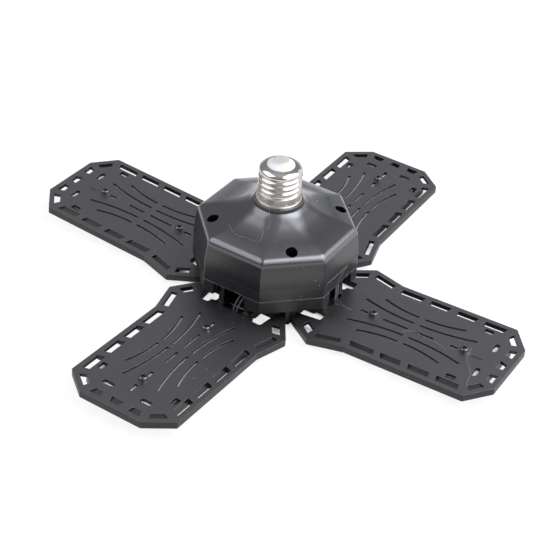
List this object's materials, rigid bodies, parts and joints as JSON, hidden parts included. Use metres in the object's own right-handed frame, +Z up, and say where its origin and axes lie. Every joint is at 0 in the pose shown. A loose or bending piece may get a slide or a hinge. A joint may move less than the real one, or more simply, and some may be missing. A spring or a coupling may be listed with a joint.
{
  "type": "deformable garage light",
  "caption": "Screw-in garage ceiling light with an octagonal housing and slotted black leaves that fold on hinges.",
  "frame": {"origin": "on the lamp's axis at the foot of its square box, on the surface it stands on", "axes": "+Z up along the screw cap, +X along leaf 1, +Y along leaf 2"},
  "size_m": [0.3242, 0.3245, 0.0906],
  "materials": {
    "cap_metal": "polished nickel plate",
    "insulator": "white ceramic-like plastic",
    "contact_metal": "dull tinned brass",
    "housing_black": "semi-gloss black plastic",
    "leaf_black": "fine-textured black plastic",
    "screw_black": "black oxide",
    "pin_steel": "drawn steel",
    "circuit_green": "glass-epoxy board",
    "circuit_tan": "tan laminate",
    "led_yellow": "phosphor",
    "milky_cover": "milky polycarbonate",
    "lead_grey": "soft insulation",
    "lead_red": "soft insulation",
    "lead_black": "soft insulation",
    "ferrite": "ferrite and tape",
    "capacitor_sleeve": "shrink sleeve",
    "capacitor_film": "epoxy",
    "copper_wire": "enamelled wire"
  },
  "bodies": {
    "hub": {"screw_shell": "cap_metal", "cap_insulator": "insulator", "centre_contact": "contact_metal", "upper_housing": "housing_black", "base_tray": "housing_black", "housing_screws": "screw_black", "hinge_pins": "pin_steel", "driver_board": "circuit_green", "transformer": "ferrite", "filter_capacitor": "capacitor_sleeve", "film_capacitor": "capacitor_film", "choke": "copper_wire", "live_lead": "lead_red", "neutral_lead": "lead_black", "panel_1_leads": "lead_grey", "panel_2_leads": "lead_grey", "panel_3_leads": "lead_grey", "panel_4_leads": "lead_grey"},
    "panel_1": {"panel_1_shell": "leaf_black", "panel_1_led_board": "circuit_tan", "panel_1_leds": "led_yellow", "panel_1_cover": "milky_cover", "panel_1_screws": "screw_black"},
    "panel_2": {"panel_2_shell": "leaf_black", "panel_2_led_board": "circuit_tan", "panel_2_leds": "led_yellow", "panel_2_cover": "milky_cover", "panel_2_screws": "screw_black"},
    "panel_3": {"panel_3_shell": "leaf_black", "panel_3_led_board": "circuit_tan", "panel_3_leds": "led_yellow", "panel_3_cover": "milky_cover", "panel_3_screws": "screw_black"},
    "panel_4": {"panel_4_shell": "leaf_black", "panel_4_led_board": "circuit_tan", "panel_4_leds": "led_yellow", "panel_4_cover": "milky_cover", "panel_4_screws": "screw_black"}
  },
  "joints": [
    {"name": "fold_1", "type": "hinge", "parent": "hub", "child": "panel_1", "pos_m": [0.0385, 0, 0.0168], "axis": [0, -1, 0], "range_deg": [-3.2, 86.8], "deforming": ["panel_1_leads"]},
    {"name": "fold_2", "type": "hinge", "parent": "hub", "child": "panel_2", "pos_m": [0, 0.0385, 0.0168], "axis": [1, 0, 0], "range_deg": [-2.6, 87.4], "deforming": ["panel_2_leads"]},
    {"name": "fold_3", "type": "hinge", "parent": "hub", "child": "panel_3", "pos_m": [-0.0385, 0, 0.0168], "axis": [0, 1, 0], "range_deg": [-0.8, 89.2], "deforming": ["panel_3_leads"]},
    {"name": "fold_4", "type": "hinge", "parent": "hub", "child": "panel_4", "pos_m": [0, -0.0385, 0.0168], "axis": [-1, 0, 0], "range_deg": [-3.1, 86.9], "deforming": ["panel_4_leads"]}
  ]
}
